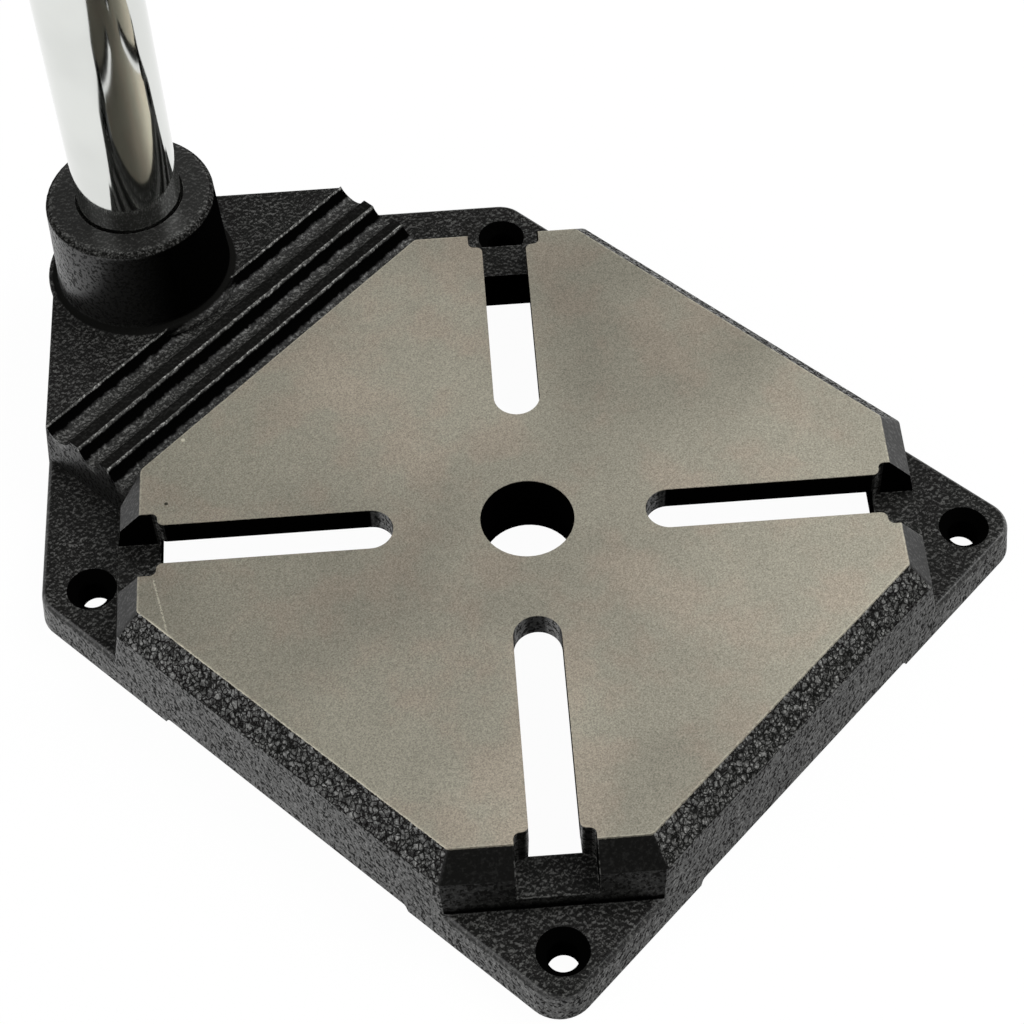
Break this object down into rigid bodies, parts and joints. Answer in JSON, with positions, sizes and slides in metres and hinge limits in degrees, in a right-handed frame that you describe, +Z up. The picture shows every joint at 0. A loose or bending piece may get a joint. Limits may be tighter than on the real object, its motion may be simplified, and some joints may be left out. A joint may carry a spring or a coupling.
{
  "type": "drill stand",
  "caption": "Bench drill stand: slotted cast table base, round column, and a sprung head that a rack and pinion feeds down, with a split clamp collar for a hand drill.",
  "frame": {"origin": "on the bench, under the centre of the hole in the ground table, in the plane of the base's underside", "axes": "+Z up along the column, +Y from the drilling axis towards the column (the back), +X to the user's right"},
  "size_m": [0.165, 0.3028, 0.411],
  "materials": {
    "cast_base": "black paint on rough sand-cast iron, satin; the table's top is ground bare",
    "chrome_tube": "polished chrome",
    "cast_head": "die cast, blasted, satin",
    "steel": "turned or drawn bright steel",
    "zinc_steel": "bright zinc plated",
    "spring_steel": "drawn wire, oiled",
    "black_oxide": "blackened steel, satin",
    "bronze": "sintered bronze",
    "black_plastic": "gloss black phenolic",
    "cap_plastic": "matt black",
    "rubber": "matt"
  },
  "bodies": {
    "base": {"base": "cast_base", "column_set_screw": "black_oxide"},
    "column": {"column": "chrome_tube", "column_cap": "cap_plastic"},
    "bracket": {"column_bracket": "cast_head", "clamp_bolt": "zinc_steel", "clamp_washer": "zinc_steel", "top_buffer": "rubber", "rack": "steel", "rack_screws": "black_oxide", "guide_rod": "steel", "rod_nuts": "zinc_steel", "spring_seat_lower": "zinc_steel", "return_spring": "spring_steel"},
    "clamp_lever": {"clamp_lever": "black_oxide"},
    "carriage": {"carriage": "cast_head", "left_bush": "bronze", "right_bush": "bronze", "spring_seat_upper": "zinc_steel", "depth_rod": "steel", "depth_rod_nut": "zinc_steel", "collar_bolt": "black_oxide", "collar_nut": "zinc_steel"},
    "feed": {"pinion_shaft": "steel", "shaft_ring": "black_oxide", "feed_hub": "black_oxide", "hub_pin": "steel", "feed_spokes": "zinc_steel", "ball_knobs": "black_plastic"},
    "depth_stop": {"depth_stop_ring": "black_oxide"},
    "depth_screw": {"depth_thumb_screw": "black_plastic"}
  },
  "joints": [
    {"name": "column_swivel", "type": "hinge", "parent": "base", "child": "column", "pos_m": [0, 0.126, 0.02], "axis": [0, 0, 1], "continuous": true},
    {"name": "bracket_height", "type": "slide", "parent": "column", "child": "bracket", "axis": [0, 0, 1], "range_m": [-0.08, 0.08]},
    {"name": "clamp_lever_turn", "type": "hinge", "parent": "bracket", "child": "clamp_lever", "pos_m": [0.02, 0.157, 0.3055], "axis": [1, 0, 0], "range_deg": [0, 110]},
    {"name": "carriage_feed", "type": "slide", "parent": "bracket", "child": "carriage", "axis": [0, 0, -1], "range_m": [0, 0.06], "stiffness_N_per_m": 500, "springref_m": -0.05, "deforming": ["return_spring"]},
    {"name": "feed_turn", "type": "hinge", "parent": "carriage", "child": "feed", "pos_m": [0, 0.087, 0.256], "axis": [1, 0, 0], "range_deg": [0, 287]},
    {"name": "depth_stop_slide", "type": "slide", "parent": "carriage", "child": "depth_stop", "axis": [0, 0, -1], "range_m": [0, 0.06]},
    {"name": "depth_screw_turn", "type": "hinge", "parent": "depth_stop", "child": "depth_screw", "pos_m": [0.032, 0.138, 0.3895], "axis": [0, 1, 0], "range_deg": [0, 360]}
  ],
  "couplings": [
    {"joint": "feed_turn", "follows": "carriage_feed", "rad_per_m": 83.333}
  ]
}
